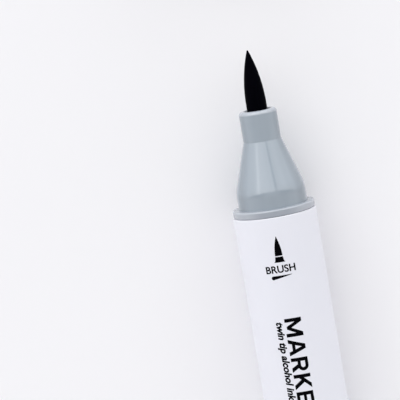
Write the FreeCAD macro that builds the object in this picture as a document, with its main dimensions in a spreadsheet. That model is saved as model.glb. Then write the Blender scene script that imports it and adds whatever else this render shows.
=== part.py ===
"""Twin-tip felt marker: a round barrel with a brush nib at one end and a chisel nib at the other.

The marker lies along X with the brush nib towards +X. The origin is on its axis, midway along the barrel.
Each sub-part is drawn in its own frame, with its axis along X, and is then put in its place on the marker.
The brush cap is shown pulled off and lying in line beyond the brush; the chisel cap is shown pushed home.
"""

import FreeCAD, Part

import math
import os
import re

import Sketcher
from FreeCAD import Placement, Rotation, Vector

# Driving dimensions in millimetres (counts are plain numbers): alias, value and meaning.
SIZES = {
    "barrel_d": (16.0, "outside diameter of the barrel"),
    "barrel_wall": (1.3, "wall of the barrel"),
    "barrel_length": (76.0, "length of the barrel tube"),
    "barrel_chamfer": (0.1, "chamfer on the barrel's end edges"),
    "fit_gap": (0.03, "radial clearance where one part fits in another"),
    "rib_tip_r": (5.2, "radius that the barrel's inner ribs reach in to"),
    "rib_width": (0.9, "width of a centring rib"),
    "rib_setback": (11.0, "distance from the barrel's end to its ribs"),
    "rib_count": (6, "centring ribs in the barrel"),
    "snap_setback": (5.0, "distance from the barrel's end to the snap groove's middle"),
    "snap_groove_width": (1.4, "width of the snap groove in the barrel"),
    "snap_groove_depth": (0.2, "depth of the snap groove in the barrel"),
    "snap_bead_width": (1.0, "width of the snap bead at its foot"),
    "snap_bead_height": (0.14, "height of the snap bead on a holder's skirt"),
    "core_d": (9.8, "diameter of the fibre reservoir"),
    "core_length": (64.0, "length of the fibre reservoir"),
    "film_thickness": (0.14, "thickness of the film round the reservoir"),
    "film_setback": (0.8, "bare fibre at each end of the film"),
    "tail_depth": (8.0, "how far a nib's tail reaches into the reservoir"),
    "tail_relief": (0.2, "room beyond a nib's tail in the reservoir"),
    "skirt_length": (9.0, "length of a nib holder's skirt inside the barrel"),
    "skirt_bore_r": (5.2, "bore radius of a nib holder's skirt"),
    "skirt_chamfer": (0.5, "lead-in chamfer at the skirt's end"),
    "stop_depth": (3.2, "how far the reservoir sits in the skirt before the stop ribs"),
    "stop_rib_height": (1.0, "radial height of a stop rib"),
    "stop_rib_width": (0.8, "width of a stop rib"),
    "stop_rib_count": (6, "stop ribs in a nib holder"),
    "flange_d": (15.8, "diameter of a nib holder's flange"),
    "flange_length": (1.4, "thickness of the flange"),
    "flange_round": (0.33, "rounding of the flange's edges"),
    "band_d": (13.3, "diameter of the band that grips the cap"),
    "band_length": (3.3, "length of the band"),
    "shoulder_round": (8.0, "rounding between the band and the cone"),
    "chamber_length": (13.5, "length of the holder's inner chamber from the skirt's end"),
    "rim_round": (0.7, "rounding of the neck's outer rim"),
    "mouth_round": (0.2, "rounding of the neck's mouth"),
    "cone_length": (9.3, "length of the brush holder's cone"),
    "neck_d": (7.3, "diameter of the brush holder's neck"),
    "neck_length": (5.85, "length of the brush holder's neck"),
    "mouth_d": (5.1, "bore of the brush holder's neck"),
    "mouth_depth": (1.4, "depth from the rim to the nib sleeve"),
    "seat_d": (6.9, "bore that holds the nib sleeve's flange"),
    "seat_start": (17.5, "start of that bore from the skirt's end"),
    "seat_end": (19.5, "end of that bore from the skirt's end"),
    "sleeve_flange_length": (1.2, "thickness of the nib sleeve's flange"),
    "sleeve_lead": (0.3, "chamfer at the sleeve's front edge"),
    "vent_width": (0.6, "width of an air groove"),
    "vent_depth": (0.25, "depth of an air groove"),
    "vent_count": (3, "air grooves round the brush nib's sleeve"),
    "brush_d": (3.9, "diameter of the brush nib"),
    "brush_exposed": (11.4, "length of brush nib in front of the holder"),
    "brush_taper": (10.2, "length of the brush nib's pointed part"),
    "brush_nose_r": (0.16, "radius of the brush nib's point"),
    "brush_tail": (2.0, "length of the brush nib's pointed tail"),
    "brush_tail_r": (0.8, "radius of the brush nib's tail end"),
    "chisel_cone_length": (5.5, "length of the chisel holder's cone"),
    "chisel_neck_d": (9.0, "diameter of the chisel holder's neck"),
    "chisel_neck_length": (8.6, "length of the chisel holder's neck"),
    "chisel_width": (6.4, "width of the chisel nib"),
    "chisel_thickness": (3.5, "thickness of the chisel nib"),
    "chisel_exposed": (9.0, "length of chisel nib in front of the holder"),
    "chisel_slant": (3.8, "how far the chisel's slanted end leans back"),
    "chisel_edge": (0.9, "bevel along the chisel's slanted end"),
    "chisel_corner": (0.5, "rounding of the chisel nib's long edges"),
    "chisel_tail_width": (4.6, "width of the chisel nib's tail"),
    "chisel_tail_tip": (1.6, "width of the tail at its end"),
    "chisel_tail_lead": (1.6, "length over which the tail widens"),
    "cap_length": (36.2, "length of a cap's shell"),
    "cap_corner_d": (16.4, "diameter over a cap's rounded corners"),
    "cap_flats": (16.0, "width across a cap's flats"),
    "cap_flat_width": (6.0, "width of the cut that makes a flat"),
    "cap_sides": (6, "flats round a cap"),
    "cap_taper_length": (5.2, "length of a cap's tapered end"),
    "cap_end_d": (15.2, "diameter of a cap's closed end"),
    "cap_end_round": (0.7, "rounding of a cap's closed end"),
    "cap_mouth_round": (0.3, "rounding of a cap's mouth edge"),
    "cap_grip_length": (4.2, "length of the bore that grips the band"),
    "cap_bore_d": (12.6, "bore of a cap behind the grip"),
    "cap_lead": (0.4, "length of the step between the two bores"),
    "cap_ledge": (31.0, "distance from a cap's mouth to the ledge inside it"),
    "cap_ledge_length": (1.6, "thickness of that ledge"),
    "cap_ledge_d": (10.6, "bore of that ledge"),
    "cap_pocket_d": (12.8, "bore of the pocket for the liner's flange and the plug"),
    "grip_ring_start": (22.0, "distance from a cap's mouth to its first grip ring"),
    "grip_ring_width": (0.7, "width of a grip ring"),
    "grip_ring_pitch": (1.7, "spacing of the grip rings"),
    "grip_ring_d": (15.7, "diameter at the bottom of a grip ring"),
    "grip_ring_count": (3, "grip rings on a cap"),
    "liner_wall": (0.6, "wall of a cap's liner"),
    "liner_overlap": (3.2, "how much of the neck the liner covers"),
    "liner_seal_length": (4.0, "length of the liner's sealing bore"),
    "liner_relief": (0.3, "how much wider or narrower the liner is behind its seal"),
    "liner_flange_length": (0.9, "thickness of the liner's flange"),
    "liner_end_wall": (1.0, "thickness of the liner's closed end"),
    "plug_proud": (0.3, "how far the plug stands out of the cap"),
    "plug_face": (1.1, "thickness of the plug's face"),
    "plug_wall": (1.0, "wall of the plug's rim"),
    "plug_round": (0.25, "rounding of the plug's outer edge"),
    "plug_dimple_d": (1.6, "diameter of the moulding dimple in the plug"),
    "plug_dimple_depth": (0.2, "depth of that dimple"),
    "seat_gap": (0.05, "gap between a seated cap and the flange"),
    "cap_travel": (60.0, "how far the brush cap has been pulled off"),
}

ORIGIN, X_AXIS, Y_AXIS = -1, -1, -2  # a sketch's own geometry numbers
START, END, CENTRE = 1, 2, 3  # the points of a line or an arc
TOUCH = 1e-4

BORE_R = "barrel_d / 2 - barrel_wall"
SNAP_X = "barrel_length / 2 - snap_setback"
FLANGE_X = "skirt_length + flange_length"
SKIRT_R = BORE_R + " - fit_gap"
BRUSH_CONE_X = FLANGE_X + " + band_length"
BRUSH_NECK_X = BRUSH_CONE_X + " + cone_length"
BRUSH_RIM_X = BRUSH_NECK_X + " + neck_length"
CHISEL_NECK_X = BRUSH_CONE_X + " + chisel_cone_length"
CHISEL_RIM_X = CHISEL_NECK_X + " + chisel_neck_length"
HOLDER_BASE = "barrel_length / 2 - skirt_length"
SLEEVE_BASE = HOLDER_BASE + " + seat_end - sleeve_flange_length"
SLEEVE_LENGTH = BRUSH_RIM_X + " - mouth_depth - seat_end + sleeve_flange_length"
NIB_BASE = "core_length / 2 - tail_depth"
BRUSH_LENGTH = HOLDER_BASE + " + " + BRUSH_RIM_X + " + brush_exposed - core_length / 2 + tail_depth"
CHISEL_LENGTH = HOLDER_BASE + " + " + CHISEL_RIM_X + " + chisel_exposed - core_length / 2 + tail_depth"
CAP_BASE = "barrel_length / 2 + flange_length + seat_gap"
PLUG_X = "cap_ledge + cap_ledge_length + liner_flange_length + fit_gap"

doc = FreeCAD.newDocument("TwinTipMarker")


def number(formula):
    """The value of a formula on the sizes, such as "barrel_d / 2"."""
    text = re.sub(r"[a-z][a-z_]*", lambda word: str(SIZES[word.group()][0]), formula)
    return FreeCAD.Units.Quantity(text).Value


def bound(formula):
    """The same formula as an expression on the Sizes sheet."""
    return re.sub(r"[a-z][a-z_]*", lambda word: "Sizes." + word.group(), formula)


def fill_sheet():
    """Writes the driving dimensions to the sheet, one row each, with the alias on the value."""
    sheet = doc.addObject("Spreadsheet::Sheet", "Sizes")
    for row, (alias, (value, meaning)) in enumerate(SIZES.items(), start=1):
        sheet.set(f"A{row}", meaning)
        sheet.set(f"B{row}", str(value))
        sheet.setAlias(f"B{row}", alias)
    doc.recompute()


def new_body(label):
    body = doc.addObject("PartDesign::Body", label)
    body.Label = label
    return body


def origin_feature(body, role):
    """One of a body's own origin planes or axes, found by its role."""
    return next(item for item in body.Origin.OriginFeatures if item.Role == role)


def new_sketch(body, name, plane, lift=None):
    """A sketch on one of the body's origin planes, lifted along its normal by a formula."""
    sketch = body.newObject("Sketcher::SketchObject", name)
    sketch.AttachmentSupport = [(origin_feature(body, plane), "")]
    sketch.MapMode = "FlatFace"
    if lift:
        sketch.setExpression("AttachmentOffset.Base.z", bound(lift))
    return sketch


def hold(sketch, kind, *where, formula):
    """Adds a dimension to a sketch and binds it to a formula."""
    index = sketch.addConstraint(Sketcher.Constraint(kind, *where, number(formula)))
    sketch.setExpression(f"Constraints[{index}]", bound(formula))


def pin(sketch, line, point, corner):
    """Holds a point of a sketch line at a corner, which is a pair of formulas."""
    for kind, axis, formula in (("DistanceX", Y_AXIS, corner[0]), ("DistanceY", X_AXIS, corner[1])):
        if abs(number(formula)) < TOUCH:
            sketch.addConstraint(Sketcher.Constraint("PointOnObject", line, point, axis))
        else:
            hold(sketch, kind, ORIGIN, START, line, point, formula=formula)


def outline(body, name, plane, corners, lift=None):
    """A closed sketch of straight lines through the corners."""
    sketch = new_sketch(body, name, plane, lift)
    points = [Vector(number(across), number(up), 0) for across, up in corners]
    count = len(points)
    for index in range(count):
        sketch.addGeometry(Part.LineSegment(points[index], points[(index + 1) % count]))
    for index in range(count):
        following = (index + 1) % count
        sketch.addConstraint(Sketcher.Constraint("Coincident", index, END, following, START))
    for index, corner in enumerate(corners):
        pin(sketch, index, START, corner)
    return sketch


def box_outline(body, name, plane, low, high, lift=None):
    """A closed rectangular sketch between two opposite corners."""
    corners = [low, (high[0], low[1]), high, (low[0], high[1])]
    return outline(body, name, plane, corners, lift)


def rings_sketch(body, name, plane, radii, lift=None):
    """A sketch of circles round the body's axis."""
    sketch = new_sketch(body, name, plane, lift)
    for radius in radii:
        circle = Part.Circle(Vector(0, 0, 0), Vector(0, 0, 1), number(radius))
        index = sketch.addGeometry(circle)
        sketch.addConstraint(Sketcher.Constraint("Coincident", index, CENTRE, ORIGIN, START))
        hold(sketch, "Radius", index, formula=radius)
    return sketch


def turn(body, kind, sketch):
    """A Revolution or a Groove of a sketch, a full turn about its horizontal axis, which is X."""
    feature = body.newObject("PartDesign::" + kind, sketch.Name + "_turned")
    feature.Profile = sketch
    feature.ReferenceAxis = (sketch, ["H_Axis"])
    feature.Angle = 360
    return feature


def extrude(body, kind, sketch, length, side="One side", backwards=False):
    """A Pad or a Pocket of a sketch."""
    feature = body.newObject("PartDesign::" + kind, sketch.Name + "_extruded")
    feature.Profile = sketch
    feature.SideType = side
    feature.Reversed = backwards
    feature.setExpression("Length", bound(length))
    return feature


def repeat_round(body, feature, count):
    """Repeats a feature evenly round the body's X axis."""
    pattern = body.newObject("PartDesign::PolarPattern", feature.Name + "_round")
    pattern.Originals = [feature]
    pattern.Axis = (origin_feature(body, "X_Axis"), [""])
    pattern.Angle = 360
    pattern.setExpression("Occurrences", bound(count))
    body.Tip = pattern
    return pattern


def ring_edge(feature, along, radius):
    """The name of a feature's circular edge at a distance along X and at a radius."""
    for index, edge in enumerate(feature.Shape.Edges, start=1):
        curve = edge.Curve
        if not isinstance(curve, Part.Circle):
            continue
        if abs(curve.Center.x - number(along)) < TOUCH and abs(curve.Radius - number(radius)) < TOUCH:
            return f"Edge{index}"
    raise ValueError(f"{feature.Name} has no round edge at {along}, radius {radius}")


def soften(body, kind, size, rings):
    """A Fillet or a Chamfer on the round edges given as (distance along X, radius)."""
    doc.recompute()
    base = body.Tip
    feature = body.newObject("PartDesign::" + kind, f"{body.Name}_{kind}_{size}")
    feature.Base = (base, [ring_edge(base, along, radius) for along, radius in rings])
    feature.setExpression("Radius" if kind == "Fillet" else "Size", bound(size))
    return feature


def put(body, base, turned_round=False):
    """Places a body along X at a formula, or at its mirror place and facing the other way."""
    if turned_round:
        body.Placement = Placement(Vector(0, 0, 0), Rotation(Vector(0, 0, 1), 180))
    body.setExpression("Placement.Base.x", ("-1 * (" if turned_round else "(") + bound(base) + ")")


def barrel_tube():
    """The white tube, open at both ends, with a snap groove near each end and ribs along its middle."""
    body = new_body("barrel_tube")
    half = "barrel_length / 2"
    tube = box_outline(body, "tube_wall", "XY_Plane", ("-" + half, BORE_R), (half, "barrel_d / 2"))
    turn(body, "Revolution", tube)
    low = (SNAP_X + " - snap_groove_width / 2", BORE_R + " - snap_groove_depth")
    high = (SNAP_X + " + snap_groove_width / 2", BORE_R + " + snap_groove_depth")
    groove = turn(body, "Groove", box_outline(body, "snap_groove", "XY_Plane", low, high))
    mirror = body.newObject("PartDesign::Mirrored", "snap_groove_mirrored")
    mirror.Originals = [groove]
    mirror.MirrorPlane = (origin_feature(body, "YZ_Plane"), [""])
    body.Tip = mirror
    soften(body, "Chamfer", "barrel_chamfer", [("-" + half, "barrel_d / 2"), (half, "barrel_d / 2")])
    foot = BORE_R + " + barrel_wall / 2"
    rib = box_outline(body, "rib", "YZ_Plane", ("-rib_width / 2", "rib_tip_r"), ("rib_width / 2", foot))
    ribs = extrude(body, "Pad", rib, "barrel_length - 2 * rib_setback", side="Symmetric")
    repeat_round(body, ribs, "rib_count")


def reservoir_core():
    """The fibre rod that holds the ink, with a pocket in each end for a nib's tail."""
    body = new_body("reservoir_core")
    half = "core_length / 2"
    rod = rings_sketch(body, "rod", "YZ_Plane", ["core_d / 2"])
    extrude(body, "Pad", rod, "core_length", side="Symmetric")
    depth = "tail_depth + tail_relief"
    round_hole = rings_sketch(body, "brush_pocket", "YZ_Plane", ["brush_d / 2 + fit_gap"], half)
    extrude(body, "Pocket", round_hole, depth)
    across = ("chisel_tail_width / 2 + fit_gap", "chisel_thickness / 2 + fit_gap")
    low = tuple("-1 * (" + size + ")" for size in across)
    flat_hole = box_outline(body, "chisel_pocket", "YZ_Plane", low, across, "-" + half)
    extrude(body, "Pocket", flat_hole, depth, backwards=True)


def reservoir_film():
    """The thin film wrapped round the reservoir."""
    body = new_body("reservoir_film")
    inner = "core_d / 2 + fit_gap"
    wrap = rings_sketch(body, "wrap", "YZ_Plane", [inner, inner + " + film_thickness"])
    extrude(body, "Pad", wrap, "core_length - 2 * film_setback", side="Symmetric")


def holder_outside(cone_end, rim, neck_radius):
    """A nib holder's outer corners, from the rim back to the end of the skirt."""
    bead_x = "skirt_length - snap_setback"
    bead_top = SKIRT_R + " + snap_bead_height"
    return [
        (rim, neck_radius),
        (cone_end, neck_radius),
        (BRUSH_CONE_X, "band_d / 2"),
        (FLANGE_X, "band_d / 2"),
        (FLANGE_X, "flange_d / 2"),
        ("skirt_length", "flange_d / 2"),
        ("skirt_length", SKIRT_R),
        (bead_x + " + snap_bead_width / 2", SKIRT_R),
        (bead_x + " + snap_bead_width / 4", bead_top),
        (bead_x + " - snap_bead_width / 4", bead_top),
        (bead_x + " - snap_bead_width / 2", SKIRT_R),
        ("0", SKIRT_R),
    ]


def finish_holder(body, rim, neck_radius):
    """The stop ribs and rounded edges that both nib holders have."""
    foot = "skirt_bore_r + stop_rib_height / 4"
    low = ("-stop_rib_width / 2", "skirt_bore_r - stop_rib_height")
    rib = box_outline(body, body.Name + "_rib", "YZ_Plane", low, ("stop_rib_width / 2", foot), "stop_depth")
    ribs = extrude(body, "Pad", rib, "chamber_length - stop_depth")
    repeat_round(body, ribs, "stop_rib_count")
    soften(body, "Fillet", "shoulder_round", [(BRUSH_CONE_X, "band_d / 2")])
    soften(body, "Fillet", "rim_round", [(rim, neck_radius)])
    edges = [(FLANGE_X, "flange_d / 2"), ("skirt_length", "flange_d / 2")]
    soften(body, "Fillet", "flange_round", edges)
    soften(body, "Chamfer", "skirt_chamfer", [("0", SKIRT_R)])


def brush_nib_holder():
    """The grey fore-end for the brush: skirt, flange, band, cone and neck in one moulding."""
    body = new_body("brush_nib_holder")
    inside = [
        ("0", "skirt_bore_r"),
        ("chamber_length", "skirt_bore_r"),
        ("seat_start", "seat_d / 2"),
        ("seat_end", "seat_d / 2"),
        ("seat_end", "mouth_d / 2"),
        (BRUSH_RIM_X, "mouth_d / 2"),
    ]
    outside = holder_outside(BRUSH_NECK_X, BRUSH_RIM_X, "neck_d / 2")
    turn(body, "Revolution", outline(body, "brush_holder_wall", "XY_Plane", inside + outside))
    finish_holder(body, BRUSH_RIM_X, "neck_d / 2")
    soften(body, "Fillet", "mouth_round", [(BRUSH_RIM_X, "mouth_d / 2")])
    put(body, HOLDER_BASE)


def chisel_nib_holder():
    """The grey fore-end for the chisel, whose neck has a flat-sided bore."""
    body = new_body("chisel_nib_holder")
    inside = [("0", "skirt_bore_r"), ("chamber_length", "skirt_bore_r"), ("chamber_length", "0")]
    outside = holder_outside(CHISEL_NECK_X, CHISEL_RIM_X, "chisel_neck_d / 2")
    front = [(CHISEL_RIM_X, "0")]
    turn(body, "Revolution", outline(body, "chisel_holder_wall", "XY_Plane", inside + front + outside))
    across = ("chisel_width / 2 + fit_gap", "chisel_thickness / 2 + fit_gap")
    low = tuple("-1 * (" + size + ")" for size in across)
    slot = box_outline(body, "chisel_slot", "YZ_Plane", low, across, CHISEL_RIM_X)
    extrude(body, "Pocket", slot, CHISEL_RIM_X + " - chamber_length")
    vent = ("vent_width / 2", across[1] + " + vent_depth")
    low = ("-vent_width / 2", "-1 * (" + vent[1] + ")")
    grooves = box_outline(body, "chisel_air_grooves", "YZ_Plane", low, vent, CHISEL_RIM_X)
    extrude(body, "Pocket", grooves, CHISEL_RIM_X + " - chamber_length")
    finish_holder(body, CHISEL_RIM_X, "chisel_neck_d / 2")
    put(body, HOLDER_BASE, turned_round=True)


def brush_nib_sleeve():
    """The flanged bush that centres the brush nib in the neck, with air grooves along its outside."""
    body = new_body("brush_nib_sleeve")
    bore, outside = "brush_d / 2 + fit_gap", "mouth_d / 2 - fit_gap"
    corners = [
        ("0", bore),
        (SLEEVE_LENGTH, bore),
        (SLEEVE_LENGTH, outside),
        ("sleeve_flange_length", outside),
        ("sleeve_flange_length", "seat_d / 2 - fit_gap"),
        ("0", "seat_d / 2 - fit_gap"),
    ]
    turn(body, "Revolution", outline(body, "sleeve_wall", "XY_Plane", corners))
    soften(body, "Chamfer", "sleeve_lead", [(SLEEVE_LENGTH, outside)])
    low, high = ("-vent_width / 2", outside + " - vent_depth"), ("vent_width / 2", "seat_d / 2")
    groove = box_outline(body, "air_groove", "YZ_Plane", low, high)
    grooves = extrude(body, "Pocket", groove, SLEEVE_LENGTH, backwards=True)
    repeat_round(body, grooves, "vent_count")
    put(body, SLEEVE_BASE)


def brush_nib():
    """The brush nib: a rod whose front is a long arc that meets a small round point, and a pointed tail."""
    body = new_body("brush_nib")
    sketch = new_sketch(body, "brush_half", "XY_Plane")
    length, radius, nose = number(BRUSH_LENGTH), number("brush_d / 2"), number("brush_nose_r")
    taper, tail, tail_radius = number("brush_taper"), number("brush_tail"), number("brush_tail_r")
    flank = ((taper - nose) ** 2 / (radius - nose) + nose + radius) / 2
    turn_angle = math.atan2(flank - radius, taper - nose)
    normal = Vector(0, 0, 1)
    nose_circle = Part.Circle(Vector(length - nose, 0, 0), normal, nose)
    flank_circle = Part.Circle(Vector(length - taper, radius - flank, 0), normal, flank)
    tip, foot = Vector(length, 0, 0), Vector(length - taper, radius, 0)
    neck, tail_top = Vector(tail, radius, 0), Vector(0, tail_radius, 0)
    axis = sketch.addGeometry(Part.LineSegment(Vector(0, 0, 0), tip))
    point = sketch.addGeometry(Part.ArcOfCircle(nose_circle, 0, turn_angle))
    side = sketch.addGeometry(Part.ArcOfCircle(flank_circle, turn_angle, math.pi / 2))
    rod = sketch.addGeometry(Part.LineSegment(foot, neck))
    slope = sketch.addGeometry(Part.LineSegment(neck, tail_top))
    end = sketch.addGeometry(Part.LineSegment(tail_top, Vector(0, 0, 0)))
    for kind, first, second in (
        ("Coincident", axis, point),
        ("Tangent", point, side),
        ("Tangent", side, rod),
        ("Coincident", rod, slope),
        ("Coincident", slope, end),
        ("Coincident", end, axis),
    ):
        sketch.addConstraint(Sketcher.Constraint(kind, first, END, second, START))
    pin(sketch, axis, START, ("0", "0"))
    sketch.addConstraint(Sketcher.Constraint("Horizontal", axis))
    sketch.addConstraint(Sketcher.Constraint("PointOnObject", point, CENTRE, X_AXIS))
    hold(sketch, "Radius", point, formula="brush_nose_r")
    hold(sketch, "DistanceX", ORIGIN, START, axis, END, formula=BRUSH_LENGTH)
    hold(sketch, "DistanceX", ORIGIN, START, rod, START, formula=BRUSH_LENGTH + " - brush_taper")
    pin(sketch, slope, START, ("brush_tail", "brush_d / 2"))
    sketch.addConstraint(Sketcher.Constraint("Horizontal", rod))
    pin(sketch, end, START, ("0", "brush_tail_r"))
    turn(body, "Revolution", sketch)
    put(body, NIB_BASE)


def chisel_nib():
    """The chisel nib: a flat fibre block with a slanted, bevelled end and a narrower tail."""
    body = new_body("chisel_nib")
    wide, narrow, tip = "chisel_width / 2", "chisel_tail_width / 2", "chisel_tail_tip / 2"
    tail = "tail_depth + tail_relief"
    corners = [
        ("0", "-" + tip),
        ("chisel_tail_lead", "-" + narrow),
        (tail, "-" + narrow),
        (tail, "-" + wide),
        (CHISEL_LENGTH + " - chisel_slant", "-" + wide),
        (CHISEL_LENGTH, wide),
        (tail, wide),
        (tail, narrow),
        ("chisel_tail_lead", narrow),
        ("0", tip),
    ]
    block = outline(body, "chisel_face", "XY_Plane", corners)
    extrude(body, "Pad", block, "chisel_thickness", side="Symmetric")
    slanted_x = CHISEL_LENGTH + " - chisel_slant / 2"
    bevel_edges(body, "Chamfer", "chisel_edge", lambda middle: near(middle.x, slanted_x))
    bevel_edges(body, "Fillet", "chisel_corner", lambda middle: near(abs(middle.y), wide))
    put(body, NIB_BASE, turned_round=True)


def near(value, formula):
    return abs(value - number(formula)) < TOUCH


def bevel_edges(body, kind, size, wanted):
    """A Chamfer or a Fillet on the edges of the chisel nib's broad faces whose middles are wanted."""
    doc.recompute()
    base = body.Tip
    names = []
    for index, edge in enumerate(base.Shape.Edges, start=1):
        middle = edge.CenterOfMass
        if near(abs(middle.z), "chisel_thickness / 2") and wanted(middle):
            names.append(f"Edge{index}")
    feature = body.newObject("PartDesign::" + kind, f"{body.Name}_{kind}")
    feature.Base = (base, names)
    feature.setExpression("Radius" if kind == "Fillet" else "Size", bound(size))


def cap_shell(label):
    """A cap's white shell: six-sided with rounded corners, open at both ends, with a ledge inside."""
    body = new_body(label)
    corner_r, pocket_r = "cap_corner_d / 2", "cap_pocket_d / 2"
    grip_r = "band_d / 2 + fit_gap"
    corners = [
        ("0", grip_r),
        ("cap_grip_length", grip_r),
        ("cap_grip_length + cap_lead", "cap_bore_d / 2"),
        ("cap_ledge", "cap_bore_d / 2"),
        ("cap_ledge", "cap_ledge_d / 2"),
        ("cap_ledge + cap_ledge_length", "cap_ledge_d / 2"),
        ("cap_ledge + cap_ledge_length", pocket_r),
        ("cap_length", pocket_r),
        ("cap_length", "cap_end_d / 2"),
        ("cap_length - cap_taper_length", corner_r),
        ("0", corner_r),
    ]
    turn(body, "Revolution", outline(body, label + "_wall", "XY_Plane", corners))
    soften(body, "Fillet", "cap_end_round", [("cap_length", "cap_end_d / 2")])
    soften(body, "Fillet", "cap_mouth_round", [("0", corner_r)])
    low, high = ("-cap_flat_width / 2", "-1 * cap_corner_d"), ("cap_flat_width / 2", "-cap_flats / 2")
    flat = box_outline(body, label + "_flat", "YZ_Plane", low, high)
    flats = extrude(body, "Pocket", flat, "cap_length", backwards=True)
    repeat_round(body, flats, "cap_sides")
    ring_end = ("grip_ring_start + grip_ring_width", "cap_corner_d")
    ring = box_outline(body, label + "_ring", "XY_Plane", ("grip_ring_start", "grip_ring_d / 2"), ring_end)
    groove = turn(body, "Groove", ring)
    rings = body.newObject("PartDesign::LinearPattern", label + "_rings")
    rings.Originals = [groove]
    rings.Direction = (origin_feature(body, "X_Axis"), [""])
    rings.setExpression("Length", bound("grip_ring_pitch * (grip_ring_count - 1)"))
    rings.setExpression("Occurrences", bound("grip_ring_count"))
    body.Tip = rings
    return body


def cap_liner(label, rim, neck_diameter):
    """The inner cap: a closed tube that seals on the neck. Its flange rests on the shell's ledge."""
    body = new_body(label)
    start = rim + " - skirt_length - flange_length - liner_overlap"
    seal_r = neck_diameter + " / 2 + fit_gap"
    wide_r = seal_r + " + liner_wall"
    flange_x = "cap_ledge + cap_ledge_length"
    end = flange_x + " + liner_flange_length"
    corners = [
        (start, seal_r),
        (start + " + liner_seal_length", seal_r),
        (start + " + liner_seal_length", seal_r + " - liner_relief"),
        (end + " - liner_end_wall", seal_r + " - liner_relief"),
        (end + " - liner_end_wall", "0"),
        (end, "0"),
        (end, "cap_pocket_d / 2 - fit_gap"),
        (flange_x, "cap_pocket_d / 2 - fit_gap"),
        (flange_x, wide_r + " - liner_relief"),
        (start + " + liner_seal_length", wide_r + " - liner_relief"),
        (start + " + liner_seal_length", wide_r),
        (start, wide_r),
    ]
    turn(body, "Revolution", outline(body, label + "_wall", "XY_Plane", corners))
    return body


def cap_plug(label):
    """The coloured plug that closes a cap's end and shows the ink's colour."""
    body = new_body(label)
    end = "cap_length + plug_proud"
    outer_r = "cap_pocket_d / 2 - fit_gap"
    dimple_x = end + " - plug_dimple_depth"
    corners = [
        (PLUG_X, outer_r),
        (PLUG_X, outer_r + " - plug_wall"),
        (end + " - plug_face", outer_r + " - plug_wall"),
        (end + " - plug_face", "0"),
        (dimple_x, "0"),
        (dimple_x, "plug_dimple_d / 2"),
        (end, "plug_dimple_d / 2"),
        (end, outer_r),
    ]
    turn(body, "Revolution", outline(body, label + "_wall", "XY_Plane", corners))
    soften(body, "Fillet", "plug_round", [(end, outer_r)])
    return body


def caps():
    """Both caps, alike but for the liner, which fits its own holder's neck."""
    ends = (
        ("brush", BRUSH_RIM_X, "neck_d", CAP_BASE + " + cap_travel"),
        ("chisel", CHISEL_RIM_X, "chisel_neck_d", CAP_BASE),
    )
    for end, rim, neck_diameter, base in ends:
        shell = cap_shell(end + "_cap_shell")
        liner = cap_liner(end + "_cap_liner", rim, neck_diameter)
        plug = cap_plug(end + "_cap_plug")
        for piece in (shell, liner, plug):
            put(piece, base, turned_round=end == "chisel")


def check_and_export():
    """Stops on any failed object or bad shape, and otherwise writes one STEP file per sub-part."""
    doc.recompute()
    failed = [item.Label for item in doc.Objects if {"Invalid", "Error"} & set(item.State)]
    if failed:
        raise RuntimeError(f"these objects failed: {failed}")
    bodies = [item for item in doc.Objects if item.TypeId == "PartDesign::Body"]
    for body in bodies:
        if body.Shape.isNull() or not body.Shape.isValid() or len(body.Shape.Solids) != 1:
            raise RuntimeError(f"{body.Label} is not one valid solid")
    os.makedirs("parts", exist_ok=True)
    for body in bodies:
        body.Shape.exportStep(f"parts/{body.Label}.step")
        box = body.Shape.BoundBox
        print(f"{body.Label:20s} {body.Shape.Volume:9.1f} mm3   x {box.XMin:8.2f} to {box.XMax:8.2f}")


fill_sheet()
barrel_tube()
reservoir_core()
reservoir_film()
brush_nib_holder()
chisel_nib_holder()
brush_nib_sleeve()
brush_nib()
chisel_nib()
caps()
check_and_export()
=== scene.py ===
"""The looks of a twin-tip felt marker that lies on a pale table with its brush end uncapped.

Everything is in metres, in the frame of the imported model: X along the marker towards the brush nib, Z up.
The hard pieces are the model's own, with moulded-plastic materials. The fibre pieces are built here as
meshes with fibre relief, and the printing on the barrel is built as thin inlays that follow its surface.
"""

import math

import bmesh
import bpy
from mathutils import Matrix, Vector, noise


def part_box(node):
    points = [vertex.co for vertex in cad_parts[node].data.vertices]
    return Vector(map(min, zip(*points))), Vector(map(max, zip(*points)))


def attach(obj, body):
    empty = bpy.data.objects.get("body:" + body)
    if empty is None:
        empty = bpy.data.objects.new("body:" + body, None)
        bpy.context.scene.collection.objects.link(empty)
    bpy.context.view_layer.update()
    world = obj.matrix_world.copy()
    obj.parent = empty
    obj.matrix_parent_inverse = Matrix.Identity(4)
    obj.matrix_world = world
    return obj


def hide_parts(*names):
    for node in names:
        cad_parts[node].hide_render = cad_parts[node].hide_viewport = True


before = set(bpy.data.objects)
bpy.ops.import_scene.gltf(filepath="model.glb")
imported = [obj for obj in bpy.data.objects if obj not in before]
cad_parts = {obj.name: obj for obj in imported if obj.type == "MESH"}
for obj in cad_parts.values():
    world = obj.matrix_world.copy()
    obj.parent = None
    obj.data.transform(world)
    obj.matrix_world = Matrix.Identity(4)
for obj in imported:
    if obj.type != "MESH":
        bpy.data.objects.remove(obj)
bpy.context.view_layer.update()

MM = 0.001
TABLE_WIDTH = 12.0
TABLE_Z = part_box("barrel_tube")[0].z
BARREL_END_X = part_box("barrel_tube")[1].x
BARREL_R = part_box("barrel_tube")[1].z
FLANGE_THICKNESS = 1.4 * MM
FLANGE_FRONT_X = BARREL_END_X + FLANGE_THICKNESS

# The camera looks down on the table from a little towards the brush nib's side.
CAMERA_TILT = math.radians(7.6)
CAMERA_ROLL = math.radians(9.8)
CAMERA_DISTANCE = 450 * MM
VIEW_WIDTH = 76.2 * MM
VIEW_CENTRE = Vector((BARREL_END_X + 4.65 * MM, 13.6 * MM, 0))

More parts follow.
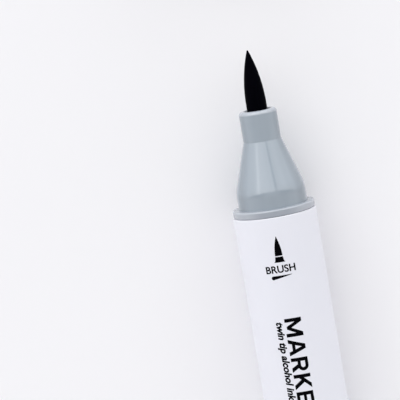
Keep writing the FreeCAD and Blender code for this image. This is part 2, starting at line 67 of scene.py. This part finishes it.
# Colours are linear.
PALE_TABLE = (0.891, 0.886, 0.901, 1)
WHITE_PLASTIC = (0.77, 0.775, 0.830, 1)
GREY_PLASTIC = (0.298, 0.346, 0.392, 1)
# Painted light: a paler grey for the holder's flange.
PAINTED_LIGHT_FLANGE_GREY = (0.34, 0.352, 0.398, 1)
# Painted light: the pale grey that the holder's painted light blends towards.
PAINTED_LIGHT_GREY_PLASTIC = (0.46, 0.485, 0.53, 1)
INK = (0.026, 0.031, 0.055, 1)
WET_FIBRE = (0.0005, 0.0004, 0.0015, 1)
PRINT_BLACK = (0.0012, 0.0012, 0.0018, 1)


class Nodes:
    """Short calls for the nodes that the materials and the room share."""

    def __init__(self, tree):
        self.tree = tree

    def node(self, kind, inputs=None, **settings):
        """Adds a node. An input is either a value or another node's output."""
        made = self.tree.nodes.new(kind)
        for name, value in settings.items():
            setattr(made, name, value)
        for name, value in (inputs or {}).items():
            if isinstance(value, bpy.types.NodeSocket):
                self.tree.links.new(value, made.inputs[name])
            else:
                made.inputs[name].default_value = value
        return made

    def grain(self, where, scale=1.0, detail=3.0, roughness=0.5):
        """Noise from 0 to 1."""
        inputs = {"Vector": where, "Scale": scale, "Detail": detail, "Roughness": roughness}
        return self.node("ShaderNodeTexNoise", inputs).outputs["Fac"]

    def spread(self, value, low, high, to_low=0.0, to_high=1.0):
        """Maps low..high of a value to another range, and stops at its ends."""
        inputs = {"Value": value, "From Min": low, "From Max": high, "To Min": to_low, "To Max": to_high}
        return self.node("ShaderNodeMapRange", inputs).outputs["Result"]

    def blend(self, share, first, second):
        """A colour between two colours."""
        mix = self.node("ShaderNodeMix", data_type="RGBA")
        for index, value in ((0, share), (6, first), (7, second)):
            if isinstance(value, bpy.types.NodeSocket):
                self.tree.links.new(value, mix.inputs[index])
            else:
                mix.inputs[index].default_value = value
        return mix.outputs[2]

    def maths(self, operation, *values):
        """One step of arithmetic on values or outputs."""
        made = self.node("ShaderNodeMath", operation=operation)
        for index, value in enumerate(values):
            if isinstance(value, bpy.types.NodeSocket):
                self.tree.links.new(value, made.inputs[index])
            else:
                made.inputs[index].default_value = value
        return made.outputs[0]

    def ramp(self, value, stops):
        """A brightness for each value, straight between stops of (value, brightness)."""
        low, high = stops[0][0], stops[-1][0]
        made = self.node("ShaderNodeFloatCurve", {"Value": self.spread(value, low, high)})
        curve = made.mapping.curves[0]
        peak = max(brightness for stop, brightness in stops)
        for index, (stop, brightness) in enumerate(stops):
            place = ((stop - low) / (high - low), brightness / peak)
            if index in (0, len(stops) - 1):
                point = curve.points[0 if index == 0 else -1]
                point.location = place
            else:
                point = curve.points.new(*place)
            point.handle_type = "VECTOR"
        made.mapping.update()
        return self.maths("MULTIPLY", made.outputs[0], peak)


class Material(Nodes):
    """A node material with one main shader."""

    def __init__(self, name):
        self.data = bpy.data.materials.new(name)
        self.data.use_nodes = True
        super().__init__(self.data.node_tree)
        self.shader = self.tree.nodes["Principled BSDF"]
        self.place = self.node("ShaderNodeTexCoord").outputs["Object"]

    def set(self, **inputs):
        """Sets the main shader's inputs, with underscores for the spaces in their names."""
        for name, value in inputs.items():
            socket = self.shader.inputs[name.replace("_", " ")]
            if isinstance(value, bpy.types.NodeSocket):
                self.tree.links.new(value, socket)
            else:
                socket.default_value = value

    def stretched(self, along, across):
        """The place, scaled along the marker and across it, in features per metre."""
        inputs = {"Vector": self.place, "Scale": (along, across, across)}
        return self.node("ShaderNodeMapping", inputs).outputs[0]

    def bump(self, height, depth, strength=1.0, below=None):
        """Surface relief of a depth in metres, on top of another relief."""
        inputs = {"Height": height, "Distance": depth, "Strength": strength}
        if below is not None:
            inputs["Normal"] = below
        return self.node("ShaderNodeBump", inputs).outputs["Normal"]

    def edges(self, radius):
        """How sharply the surface turns nearby: 0 on a flat stretch, towards 1 at an edge."""
        rounded = self.node("ShaderNodeBevel", {"Radius": radius}, samples=8).outputs[0]
        plain = self.node("ShaderNodeNewGeometry").outputs["Normal"]
        alike = self.node("ShaderNodeVectorMath", {0: rounded, 1: plain}, operation="DOT_PRODUCT")
        return self.spread(alike.outputs["Value"], 0.97, 0.85)

    def facing(self):
        """1 where the surface faces the viewer, 0 where it is seen edge-on."""
        weight = self.node("ShaderNodeLayerWeight", {"Blend": 0.5})
        return self.maths("SUBTRACT", 1.0, weight.outputs["Facing"])

    def along(self):
        """The distance along the marker, in metres."""
        return self.node("ShaderNodeSeparateXYZ", {0: self.place}).outputs["X"]

    def dimmed(self, colour, factor):
        """A colour output with its brightness multiplied."""
        made = self.node("ShaderNodeVectorMath", {0: colour, "Scale": factor}, operation="SCALE")
        return made.outputs["Vector"]


def shaded(colour, factor):
    """A colour with its brightness multiplied."""
    return (colour[0] * factor, colour[1] * factor, colour[2] * factor, 1)


def moulded(name, colour, gloss, depth, handled=0.5):
    """Injection-moulded plastic: faint mottling, slight orange peel, draw lines and the marks of use.

    gloss is its roughness, depth is how far light sinks in, and handled is how scuffed and rubbed it is.
    """
    made = Material(name)
    mottle = made.grain(made.place, 90, 4)
    fleck = made.grain(made.place, 2600, 2)
    tone = made.blend(made.spread(mottle, 0.30, 0.70), shaded(colour, 0.992), shaded(colour, 1.008))
    tone = made.blend(made.spread(fleck, 0.66, 0.84, 0, 0.05), tone, shaded(colour, 0.90))
    edge = made.edges(0.25 * MM)
    worn = made.spread(made.grain(made.place, 700, 4), 0.40, 0.62, 0, handled)
    rubbed = made.maths("MULTIPLY", edge, worn)
    tone = made.blend(rubbed, tone, shaded(colour, 1.05))
    lines = made.grain(made.stretched(60, 5200), 1.0, 2)
    scuff = made.spread(made.grain(made.stretched(420, 90), 1.0, 6, 0.75), 0.60, 0.72)
    scuffed = made.maths("MULTIPLY", scuff, made.spread(lines, 0.55, 0.75, 0, handled))
    rough = made.spread(made.grain(made.place, 260, 3), 0.2, 0.8, gloss * 0.96, gloss * 1.04)
    rough = made.maths("ADD", rough, made.maths("MULTIPLY", scuffed, 0.05))
    rough = made.maths("ADD", rough, made.maths("MULTIPLY", rubbed, 0.10))
    peel = made.bump(made.grain(made.place, 900, 2), 0.008 * MM, 0.35)
    drawn = made.bump(lines, 0.004 * MM, 0.25, below=peel)
    made.set(
        Base_Color=tone,
        Roughness=rough,
        IOR=1.5,
        Specular_IOR_Level=0.55,
        Subsurface_Weight=depth,
        Subsurface_Radius=(0.9, 0.85, 0.8),
        Subsurface_Scale=0.8 * MM,
        Normal=drawn,
    )
    made.tone = tone
    return made


def white_barrel_plastic():
    return moulded("white_barrel_plastic", WHITE_PLASTIC, 0.38, 0.10, handled=0.3).data


def white_cap_plastic():
    return moulded("white_cap_plastic", WHITE_PLASTIC, 0.42, 0.10, handled=0.4).data


def grey_holder_plastic(holder):
    """Glossy, faintly translucent plastic.

    Painted shade darkens its colour where it is seen nearly edge-on, and over the band. Painted light makes
    the flange, the neck's rounded rim and the outline of the whole piece paler; on the rim it is a painted
    highlight.
    """
    made = moulded(holder + "_plastic", GREY_PLASTIC, 0.06, 0.04, handled=0.3)
    facing = made.facing()
    from_middle = made.maths("ABSOLUTE", made.along())
    # Painted shade: the colour is darkened where the surface is seen nearly edge-on.
    painted_edge_on_shade = ((0.0, 1.0), (0.22, 1.0), (0.42, 0.86), (0.56, 0.89), (0.72, 1.0), (1.0, 1.0))
    painted_shade = made.ramp(facing, painted_edge_on_shade)
    # Painted shade: the colour is a little darker over the band.
    painted_band_shade = made.spread(from_middle, FLANGE_FRONT_X + 3.6 * MM, FLANGE_FRONT_X + 2.4 * MM, 1, 0.94)
    painted_shade = made.maths("MULTIPLY", painted_shade, painted_band_shade)
    on_flange = made.spread(from_middle, FLANGE_FRONT_X + 0.05 * MM, FLANGE_FRONT_X - 0.05 * MM)
    # Painted highlight: the neck's rounded rim is painted paler.
    rim = max(abs(corner.x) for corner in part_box(holder))
    painted_rim_highlight = made.spread(from_middle, rim - 0.75 * MM, rim - 0.55 * MM, 0, 0.6)
    # Painted light: the flange is painted paler, most where it is seen edge-on.
    painted_flange_light = made.ramp(facing, ((0.0, 0.65), (0.45, 0.6), (0.75, 0.5), (0.93, 0.12), (1.0, 0.06)))
    # Painted light: the outline of the whole piece, seen edge-on, is painted paler.
    outline = made.ramp(facing, ((0.0, 0.7), (0.16, 0.5), (0.34, 0.0), (1.0, 0.0)))
    # All the painted light together: it lifts the painted shade and blends the colour towards a pale grey.
    thin = made.maths("ADD", made.maths("MULTIPLY", on_flange, painted_flange_light), painted_rim_highlight)
    thin = made.maths("MAXIMUM", thin, outline)
    painted_shade = made.node("ShaderNodeMix", {"Factor": thin, "A": painted_shade, "B": 1.0}, data_type="FLOAT").outputs[0]
    # Painted light: half of the flange's colour is a paler grey.
    tone = made.blend(made.maths("MULTIPLY", on_flange, 0.5), made.tone, PAINTED_LIGHT_FLANGE_GREY)
    tone = made.blend(thin, made.dimmed(tone, painted_shade), PAINTED_LIGHT_GREY_PLASTIC)
    made.set(Base_Color=tone, Specular_IOR_Level=1.0)
    return made.data


def ink_plug_plastic():
    return moulded("ink_plug_plastic", INK, 0.24, 0.0, handled=0.9).data


def sleeve_plastic():
    """Grey plastic that ink has stained towards the nib."""
    made = moulded("stained_sleeve_plastic", shaded(GREY_PLASTIC, 0.6), 0.30, 0.0)
    stain = made.spread(made.grain(made.place, 900, 5), 0.35, 0.60)
    made.set(Base_Color=made.blend(stain, shaded(GREY_PLASTIC, 0.45), INK))
    return made.data


def liner_plastic():
    """Natural polyethylene: milky, soft-looking and a little translucent."""
    return moulded("natural_liner_plastic", (0.78, 0.78, 0.74, 1), 0.42, 0.35, handled=0.2).data


def frosted_film():
    """Thin film, milky with fine lengthwise creases and ink showing through in patches."""
    made = Material("frosted_film")
    creases = made.grain(made.stretched(40, 1400), 1.0, 4)
    patches = made.grain(made.place, 220, 4)
    tone = made.blend(made.spread(patches, 0.40, 0.70), (0.62, 0.65, 0.68, 1), (0.16, 0.18, 0.25, 1))
    made.set(
        Base_Color=tone,
        Roughness=made.spread(creases, 0.3, 0.7, 0.22, 0.45),
        Normal=made.bump(creases, 0.03 * MM, 0.6),
    )
    return made.data


def wet_fibre(name, colour, gloss):
    """Bonded fibre soaked with ink: lengthwise strands, a few lighter dry ones, and a soft sheen."""
    made = Material(name)
    strands = made.grain(made.stretched(120, 9000), 1.0, 4, 0.6)
    tufts = made.grain(made.stretched(500, 2600), 1.0, 3)
    tone = made.blend(made.spread(strands, 0.35, 0.72), shaded(colour, 0.5), shaded(colour, 2.0))
    dry = made.maths("MULTIPLY", made.spread(strands, 0.62, 0.74), made.spread(tufts, 0.58, 0.75))
    made.set(
        Base_Color=made.blend(made.maths("MULTIPLY", dry, 0.12), tone, shaded(INK, 0.4)),
        Roughness=made.spread(tufts, 0.3, 0.7, gloss, gloss + 0.25),
        Specular_IOR_Level=0.012,
        Normal=made.bump(strands, 0.03 * MM, 0.8, below=made.bump(tufts, 0.02 * MM, 0.5)),
    )
    return made.data


def print_ink():
    """Pad-printed black: satin, with pinholes where the ink is thin."""
    made = Material("print_ink")
    pinholes = made.spread(made.grain(made.place, 4200, 3), 0.68, 0.78, 0, 0.10)
    made.set(
        Base_Color=made.blend(pinholes, PRINT_BLACK, shaded(WHITE_PLASTIC, 0.25)),
        Roughness=made.spread(made.grain(made.place, 1200, 2), 0.3, 0.7, 0.40, 0.55),
        Specular_IOR_Level=0.02,
        Normal=made.bump(made.grain(made.place, 3000, 2), 0.004 * MM, 0.4),
    )
    return made.data


def table_top():
    """A pale laminate table: almost even, with a faint cloudiness and a very fine tooth."""
    made = Material("pale_table")
    cloud = made.spread(made.grain(made.place, 14, 5), 0.35, 0.65)
    tooth = made.grain(made.place, 3000, 3)
    made.set(
        Base_Color=made.blend(cloud, shaded(PALE_TABLE, 0.992), shaded(PALE_TABLE, 1.006)),
        Roughness=made.spread(tooth, 0.3, 0.7, 0.50, 0.62),
        Specular_IOR_Level=0.3,
        Normal=made.bump(tooth, 0.01 * MM, 0.2),
    )
    return made.data


def paint(obj, material):
    """Gives an object one material in every slot. The mesh itself is left as it is."""
    if not obj.material_slots:
        obj.data.materials.append(material)
    for slot in obj.material_slots:
        slot.link = "OBJECT"
        slot.material = material


def paint_cad_nodes():
    """Moulded materials for the nodes whose shape is already right."""
    liner, plug, cap = liner_plastic(), ink_plug_plastic(), white_cap_plastic()
    finishes = {
        "barrel_tube": white_barrel_plastic(),
        "reservoir_film": frosted_film(),
        "brush_nib_holder": grey_holder_plastic("brush_nib_holder"),
        "chisel_nib_holder": grey_holder_plastic("chisel_nib_holder"),
        "brush_nib_sleeve": sleeve_plastic(),
        "brush_cap_shell": cap,
        "brush_cap_liner": liner,
        "brush_cap_plug": plug,
        "chisel_cap_shell": cap,
        "chisel_cap_liner": liner,
        "chisel_cap_plug": plug,
    }
    for name, material in finishes.items():
        paint(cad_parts[name], material)


def add_mesh(name, points, faces):
    """An object made of points and faces."""
    mesh = bpy.data.meshes.new(name)
    mesh.from_pydata(points, [], faces)
    mesh.validate()
    return add_object(name, mesh)


def add_object(name, mesh):
    made = bpy.data.objects.new(name, mesh)
    bpy.context.scene.collection.objects.link(made)
    return made


def smooth(obj):
    for polygon in obj.data.polygons:
        polygon.use_smooth = True


def strand_relief(angle, x, strands, seed):
    """Relief of lengthwise fibres at an angle round the axis, from -1 to 1. It drifts slowly along X."""
    turn = Vector((math.cos(angle), math.sin(angle), 0)) * strands / math.tau
    fine = noise.noise(Vector((turn.x, turn.y, x / (6 * MM) + seed)))
    coarse = noise.noise(Vector((turn.x * 0.3, turn.y * 0.3, x / (14 * MM) - seed)))
    return max(-1.0, min(1.0, 1.6 * fine + 0.8 * coarse))


BRUSH_TAPER = 10.2 * MM
BRUSH_NOSE_R = 0.16 * MM
BRUSH_TAIL = 2.0 * MM
BRUSH_TAIL_R = 0.8 * MM
BRUSH_RELIEF = 0.018 * MM
BRUSH_AROUND = 180
BRUSH_BODY_RINGS = 90
BRUSH_TAPER_RINGS = 110


def brush_radius(x, low, high, radius):
    """The brush nib's radius at x: pointed tail, rod, then one long arc that meets a small round point."""
    if x < low + BRUSH_TAIL:
        return BRUSH_TAIL_R + (radius - BRUSH_TAIL_R) * (x - low) / BRUSH_TAIL
    from_tip = high - x
    if from_tip >= BRUSH_TAPER:
        return radius
    run = BRUSH_TAPER - BRUSH_NOSE_R
    flank = (run**2 / (radius - BRUSH_NOSE_R) + BRUSH_NOSE_R + radius) / 2
    join = BRUSH_NOSE_R * (1 - run / (flank - BRUSH_NOSE_R))
    if from_tip < join:
        return math.sqrt(max(0.0, from_tip * (2 * BRUSH_NOSE_R - from_tip)))
    return radius - flank + math.sqrt(flank**2 - (BRUSH_TAPER - from_tip) ** 2)


def brush_fibre():
    """The brush nib, turned about X, with fibre relief that fades into the point."""
    low, high = (corner.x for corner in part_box("brush_nib"))
    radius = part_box("brush_nib")[1].z
    around, body, taper = BRUSH_AROUND, BRUSH_BODY_RINGS, BRUSH_TAPER_RINGS
    body_rings = [low + (high - BRUSH_TAPER - low) * step / body for step in range(body)]
    taper_rings = [high - BRUSH_TAPER * (1 - step / taper) ** 1.6 for step in range(taper)]
    points, faces = [(low, 0, 0)], []
    for x in body_rings + taper_rings:
        plain = brush_radius(x, low, high, radius)
        for step in range(around):
            angle = math.tau * step / around
            depth = BRUSH_RELIEF * min(1.0, plain / (0.6 * radius))
            ring = plain - depth * (0.5 + 0.5 * strand_relief(angle, x, 70, 3.1))
            points.append((x, ring * math.cos(angle), ring * math.sin(angle)))
    points.append((high, 0, 0))
    rings = len(body_rings) + len(taper_rings)
    for step in range(around):
        following = (step + 1) % around
        faces.append((0, 1 + following, 1 + step))
        last = 1 + (rings - 1) * around
        faces.append((last + step, last + following, len(points) - 1))
        for ring in range(rings - 1):
            row = 1 + ring * around
            beyond = row + around
            faces.append((row + step, row + following, beyond + following, beyond + step))
    nib = add_mesh("brush_nib_fibre", points, faces)
    smooth(nib)
    paint(nib, wet_fibre("wet_brush_fibre", WET_FIBRE, 0.42))
    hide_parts("brush_nib")
    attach(nib, "marker_body")


END_GRAIN = 0.35 * MM


def fibre_copy(node, name, voxel, relief_depth, strands, material):
    """A fibre piece in a node's shape: evenly remeshed, with softened edges and sunken fibre relief."""
    piece = add_object(name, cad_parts[node].data.copy())
    remesh = piece.modifiers.new("even_mesh", "REMESH")
    remesh.mode = "VOXEL"
    remesh.voxel_size = voxel
    soften = piece.modifiers.new("soft_edges", "SMOOTH")
    soften.factor = 0.5
    soften.iterations = 2
    bpy.context.view_layer.update()
    settled = piece.evaluated_get(bpy.context.evaluated_depsgraph_get())
    mesh = bpy.data.meshes.new_from_object(settled)
    piece.modifiers.clear()
    piece.data = mesh
    normals = [vertex.normal.copy() for vertex in mesh.vertices]
    for vertex, normal in zip(mesh.vertices, normals):
        place = vertex.co
        angle = math.atan2(place.z, place.y)
        relief = 0.5 + 0.5 * strand_relief(angle, place.x, strands, 7.7)
        end_grain = noise.noise(place / END_GRAIN) * abs(normal.x)
        sink = relief_depth * (relief * (1 - abs(normal.x)) + 0.5 + 0.5 * end_grain)
        vertex.co = place - normal * sink
    mesh.materials.clear()
    smooth(piece)
    paint(piece, material)
    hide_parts(node)
    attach(piece, "marker_body")


def flat_text(text, size, weight, align="CENTER", slant=0.0):
    """A line of lettering as a flat curve object, in millimetres, on its baseline."""
    curve = bpy.data.curves.new(text, "FONT")
    curve.body = text
    curve.size = size
    curve.offset = weight
    curve.shear = slant
    curve.align_x = align
    curve.resolution_u = 6
    return curve


def flat_shape(*outlines):
    """Closed outlines, in millimetres, as a filled flat curve. An outline inside another one is a hole."""
    curve = bpy.data.curves.new("shape", "CURVE")
    curve.dimensions = "2D"
    curve.fill_mode = "BOTH"
    for outline in outlines:
        spline = curve.splines.new("POLY")
        spline.points.add(len(outline) - 1)
        for point, (across, up) in zip(spline.points, outline):
            point.co = (across, up, 0, 1)
        spline.use_cyclic_u = True
    return curve


CAP_HEIGHT = 70
LETTER_GAP = 10


def bowl(right, low, high, steps=8):
    """The round side of a letter: from its foot at (left of right, low) up to its top."""
    middle, half = (low + high) / 2, (high - low) / 2
    turns = [math.pi * (step / steps - 0.5) for step in range(steps + 1)]
    return [(right - half + half * math.cos(turn), middle + half * math.sin(turn)) for turn in turns]


def block_letters():
    """Plain bold capitals: each letter's width and outlines, on a height of CAP_HEIGHT."""
    bow, counter = bowl(57, 26, 70), bowl(43, 39, 57)
    return {
        "M": (78, [
            [(0, 0), (15, 0), (15, 42), (33, 6), (45, 6), (63, 42), (63, 0), (78, 0), (78, 70), (62, 70),
             (39, 25), (16, 70), (0, 70)],
        ]),
        "A": (70, [
            [(0, 0), (16, 0), (21, 15), (49, 15), (54, 0), (70, 0), (44, 70), (26, 70)],
            [(26, 28), (44, 28), (35, 54)],
        ]),
        "R": (61, [
            [(0, 0), (15, 0), (15, 26), (27, 26), (42, 0), (61, 0), (44, 28)] + bow[2:] + [(0, 70)],
            [(15, 39)] + counter + [(15, 57)],
        ]),
        "K": (64, [
            [(0, 0), (15, 0), (15, 21), (23, 30), (45, 0), (64, 0), (34, 42), (62, 70), (42, 70), (15, 42),
             (15, 70), (0, 70)],
        ]),
        "E": (51, [
            [(0, 0), (51, 0), (51, 13), (15, 13), (15, 29), (45, 29), (45, 41), (15, 41), (15, 57),
             (50, 57), (50, 70), (0, 70)],
        ]),
    }


def block_word(word, height):
    """A word in plain bold capitals of a height in millimetres, starting at zero."""
    letters, scale = block_letters(), height / CAP_HEIGHT
    start, outlines = 0, []
    for letter in word:
        width, loops = letters[letter]
        outlines += [[((start + across) * scale, up * scale) for across, up in loop] for loop in loops]
        start += width + LETTER_GAP
    return flat_shape(*outlines)


# Printing is laid out in millimetres: how far it stands out and reaches in, and how finely it is bent.
PRINT_OUT = 0.012
PRINT_IN = 0.030
PRINT_STRIP = 0.25
# Distances of the printing at each end from the flange, and the size and weight of its lettering.
ICON_AT = 7.25
COLLAR_AT = 8.5
END_WORD_AT = 10.45
STROKE_AT = 11.4
END_WORD_SIZE = 1.93
END_WORD_WEIGHT = 0.045
# The two lines along the barrel.
TITLE_AT = 19.4
TITLE_HEIGHT = 3.2
SUBTITLE_AT = 19.8
SUBTITLE_SIZE = 1.95
SUBTITLE_WEIGHT = 0.075
SUBTITLE_SLANT = 0.25


def print_on_barrel(name, curve, from_end, across, turn=0.0, end=1):
    """Wraps a flat curve on the barrel's upper side as a thin closed inlay.

    from_end is the distance from the flange at one end, in millimetres. end is 1 for the brush end and -1
    for the chisel end. across is the distance round the barrel from its top line, positive to the right when
    the brush nib points up.
    """
    curve.extrude = (PRINT_OUT + PRINT_IN) / 2
    drawn = add_object(name + "_flat", curve)
    bpy.context.view_layer.update()
    mesh = bpy.data.meshes.new_from_object(drawn.evaluated_get(bpy.context.evaluated_depsgraph_get()))
    bpy.data.objects.remove(drawn)
    shape = bmesh.new()
    shape.from_mesh(mesh)
    bmesh.ops.remove_doubles(shape, verts=shape.verts, dist=1e-4)
    shape.transform(Matrix.Rotation(math.radians(turn), 4, "Z"))
    reach = max(abs(vertex.co.x) for vertex in shape.verts)
    strips = math.ceil(reach / PRINT_STRIP)
    for step in range(-strips, strips + 1):
        everything = shape.verts[:] + shape.edges[:] + shape.faces[:]
        line = (step * PRINT_STRIP, 0, 0)
        bmesh.ops.bisect_plane(shape, geom=everything, plane_co=line, plane_no=(1, 0, 0))
    radius = BARREL_R / MM
    for vertex in shape.verts:
        angle = (across + vertex.co.x) / radius
        height = radius + vertex.co.z + (PRINT_OUT - PRINT_IN) / 2
        along = end * (BARREL_END_X / MM - from_end) + vertex.co.y
        vertex.co = Vector((along, -height * math.sin(angle), height * math.cos(angle))) * MM
    bmesh.ops.recalc_face_normals(shape, faces=shape.faces[:])
    shape.to_mesh(mesh)
    shape.free()
    mesh.materials.clear()
    printed = add_object(name, mesh)
    paint(printed, printing)
    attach(printed, "marker_body")


def brush_icon():
    """A pointed nib: two arcs from its foot to its point."""
    length, half, steps = 3.75, 0.70, 16
    side = [(half * (1 - (step / steps) ** 1.9), length * step / steps) for step in range(steps)]
    mirrored = [(-across, up) for across, up in reversed(side)]
    return side + [(0, length)] + mirrored


def collar_icon():
    """The collar under the nib, which flares at its foot."""
    right = [(1.06, 0), (0.90, 0.20), (0.80, 0.48), (0.74, 1.05)]
    return right + [(-across, up) for across, up in reversed(right)]


def chisel_icon():
    """A chisel nib seen from its broad side."""
    return [(-0.85, 0), (0.85, 0), (0.85, 3.3), (-0.85, 2.2)]


def stroke_icon(length, thick, thin):
    """A pen stroke with a round start that thins towards its end."""
    start = [
        (-length / 2 + thick / 2 * math.cos(turn), thick / 2 * math.sin(turn))
        for turn in (math.pi * (0.5 + step / 10) for step in range(11))
    ]
    rise = 0.35
    return start + [(length / 2, rise - thin / 2), (length / 2, rise + thin / 2)]


def print_end(nib, icon, stroke, end):
    """The printing at one end: the nib's picture, the collar under it, its name and a pen stroke."""
    turn = 0 if end == 1 else 180
    pieces = (
        ("icon", flat_shape(icon), ICON_AT, 0.80),
        ("collar", flat_shape(collar_icon()), COLLAR_AT, 0.80),
        ("word", flat_text(nib.upper(), END_WORD_SIZE, END_WORD_WEIGHT), END_WORD_AT, 0.88),
        ("stroke", flat_shape(stroke), STROKE_AT, 0.70),
    )
    for piece, curve, from_end, left in pieces:
        print_on_barrel(f"print_{nib}_{piece}", curve, from_end, -left * end, turn, end)


def print_barrel():
    """The printing at both ends, and the two lines that run along the barrel from the brush end."""
    print_end("brush", brush_icon(), stroke_icon(3.6, 0.72, 0.06), 1)
    title = block_word("MARKER", TITLE_HEIGHT)
    print_on_barrel("print_marker_word", title, TITLE_AT, -1.85, turn=-90)
    subtitle = flat_text("twin tip alcohol ink", SUBTITLE_SIZE, SUBTITLE_WEIGHT, "LEFT", SUBTITLE_SLANT)
    print_on_barrel("print_subtitle", subtitle, SUBTITLE_AT, -3.5, turn=-90)
    print_end("chisel", chisel_icon(), stroke_icon(3.6, 0.5, 0.4), -1)


def add_table():
    """A wide plane that the marker lies on."""
    half = TABLE_WIDTH / 2
    corners = [(x * half, y * half, TABLE_Z) for x, y in ((-1, -1), (1, -1), (1, 1), (-1, 1))]
    table = add_mesh("table", corners, [(0, 1, 2, 3)])
    paint(table, table_top())


# The room's lights: brightness, and angles in degrees from overhead, positive to the marker's left (+Y).
# The gap's inner and outer limits are angles from its middle, and GAP_LIGHT is the light left in it.
# The wash and the panels start at an angle from overhead towards the brush nib. The lamp's edge and the
# glow's edges are parts of a direction of length 1: how far it points up, and how far towards the nib.
WASH = 1.2
LEFT_PANEL = 0.7
LEFT_PANEL_ANGLE = 35
LEFT_PANEL_REACH = 35
RIGHT_PANEL = 0.3
RIGHT_PANEL_ANGLE = -50
RIGHT_PANEL_REACH = 20
BRIGHT_STRIP = 1.0
BRIGHT_STRIP_ANGLE = 45
BRIGHT_STRIP_REACH = 8
PANELS_START = 10
PANELS_FADE = 2
GAP_ANGLE = -18
GAP_INNER = 3.0
GAP_OUTER = 6.5
GAP_LIGHT = 0.25
CEILING = 0.1
CEILING_LAMP = 0.5
CEILING_LAMP_EDGE = 0.8
BACK_WALL = 0.9
FRONT_GLOW = 0.8
FRONT_GLOW_EDGES = (0.5, 0.7)
LIGHT_COLOUR = (0.985, 0.985, 1.0, 1)
BACKDROP_COLOUR = (0.87, 0.87, 0.895, 1)


def lit_arc(room, sideways, angle, reach, brightness):
    """A soft light that is brightest at an angle and fades evenly to nothing within its reach."""
    off = room.maths("ABSOLUTE", room.maths("SUBTRACT", sideways, angle))
    return room.spread(off, 0, reach, brightness, 0)


def add_room():
    """A pale room: an even wash beyond the nib, a soft panel on each side and a bright strip on the left.

    A narrow dark gap crosses the wash on the right. The wash ends just beyond the camera, so that surfaces
    that face straight up mirror the dim ceiling.
    """
    world = bpy.data.worlds.new("room")
    world.use_nodes = True
    bpy.context.scene.world = world
    room = Nodes(world.node_tree)
    background = room.tree.nodes["Background"]
    toward = room.node("ShaderNodeTexCoord").outputs["Generated"]
    parts = room.node("ShaderNodeSeparateXYZ", {0: toward}).outputs
    sideways = room.maths("DEGREES", room.maths("ARCTAN2", parts["Y"], parts["Z"]))
    forwards = room.maths("DEGREES", room.maths("ARCTAN2", parts["X"], parts["Z"]))
    from_gap = room.maths("ABSOLUTE", room.maths("SUBTRACT", sideways, GAP_ANGLE))
    left_panel = lit_arc(room, sideways, LEFT_PANEL_ANGLE, LEFT_PANEL_REACH, LEFT_PANEL)
    bright_strip = lit_arc(room, sideways, BRIGHT_STRIP_ANGLE, BRIGHT_STRIP_REACH, BRIGHT_STRIP)
    right_panel = lit_arc(room, sideways, RIGHT_PANEL_ANGLE, RIGHT_PANEL_REACH, RIGHT_PANEL)
    left_side = room.maths("ADD", left_panel, bright_strip)
    panels = room.maths("ADD", WASH, room.maths("ADD", left_side, right_panel))
    panels = room.maths("MULTIPLY", panels, room.spread(from_gap, GAP_INNER, GAP_OUTER, GAP_LIGHT, 1))
    panels = room.maths("MULTIPLY", panels, room.spread(forwards, PANELS_START, PANELS_START + PANELS_FADE))
    ceiling = room.spread(parts["Z"], CEILING_LAMP_EDGE, 1, CEILING, CEILING + CEILING_LAMP)
    behind = room.spread(parts["X"], 0.1, -0.1, 0, BACK_WALL)
    walls = room.maths("MULTIPLY", room.maths("ABSOLUTE", parts["Y"]), behind)
    brightness = room.maths("ADD", panels, room.maths("ADD", walls, ceiling))
    brightness = room.maths("ADD", brightness, room.spread(parts["X"], *FRONT_GLOW_EDGES, 0, FRONT_GLOW))
    seen = room.node("ShaderNodeLightPath").outputs["Is Camera Ray"]
    colour = room.blend(seen, LIGHT_COLOUR, BACKDROP_COLOUR)
    room.tree.links.new(colour, background.inputs["Color"])
    strength = room.node("ShaderNodeMix", {"Factor": seen, "A": brightness, "B": 1.0}, data_type="FLOAT")
    room.tree.links.new(strength.outputs[0], background.inputs["Strength"])


def add_camera():
    """The camera above the table, tilted towards the brush nib and rolled so that the marker leans."""
    back = Vector((math.sin(CAMERA_TILT), 0, math.cos(CAMERA_TILT)))
    along = Vector((math.cos(CAMERA_TILT), 0, -math.sin(CAMERA_TILT)))
    right = Vector((0, -1, 0))
    up = math.cos(CAMERA_ROLL) * along + math.sin(CAMERA_ROLL) * right
    side = math.cos(CAMERA_ROLL) * right - math.sin(CAMERA_ROLL) * along
    data = bpy.data.cameras.new("camera")
    data.sensor_width = 36
    data.lens = data.sensor_width * CAMERA_DISTANCE / VIEW_WIDTH
    camera = bpy.data.objects.new("camera", data)
    camera.matrix_world = Matrix.Translation(VIEW_CENTRE + back * CAMERA_DISTANCE) @ Matrix(
        (side, up, back)
    ).transposed().to_4x4()
    bpy.context.scene.collection.objects.link(camera)
    bpy.context.scene.camera = camera


bpy.context.scene.view_settings.view_transform = "Standard"
printing = print_ink()
paint_cad_nodes()
brush_fibre()
chisel_look = wet_fibre("wet_chisel_fibre", shaded(WET_FIBRE, 1.5), 0.55)
fibre_copy("chisel_nib", "chisel_nib_fibre", 0.11 * MM, 0.02 * MM, 90, chisel_look)
core_look = wet_fibre("inked_reservoir_fibre", INK, 0.6)
fibre_copy("reservoir_core", "reservoir_fibre_rod", 0.22 * MM, 0.04 * MM, 110, core_look)
print_barrel()
add_table()
add_room()
add_camera()
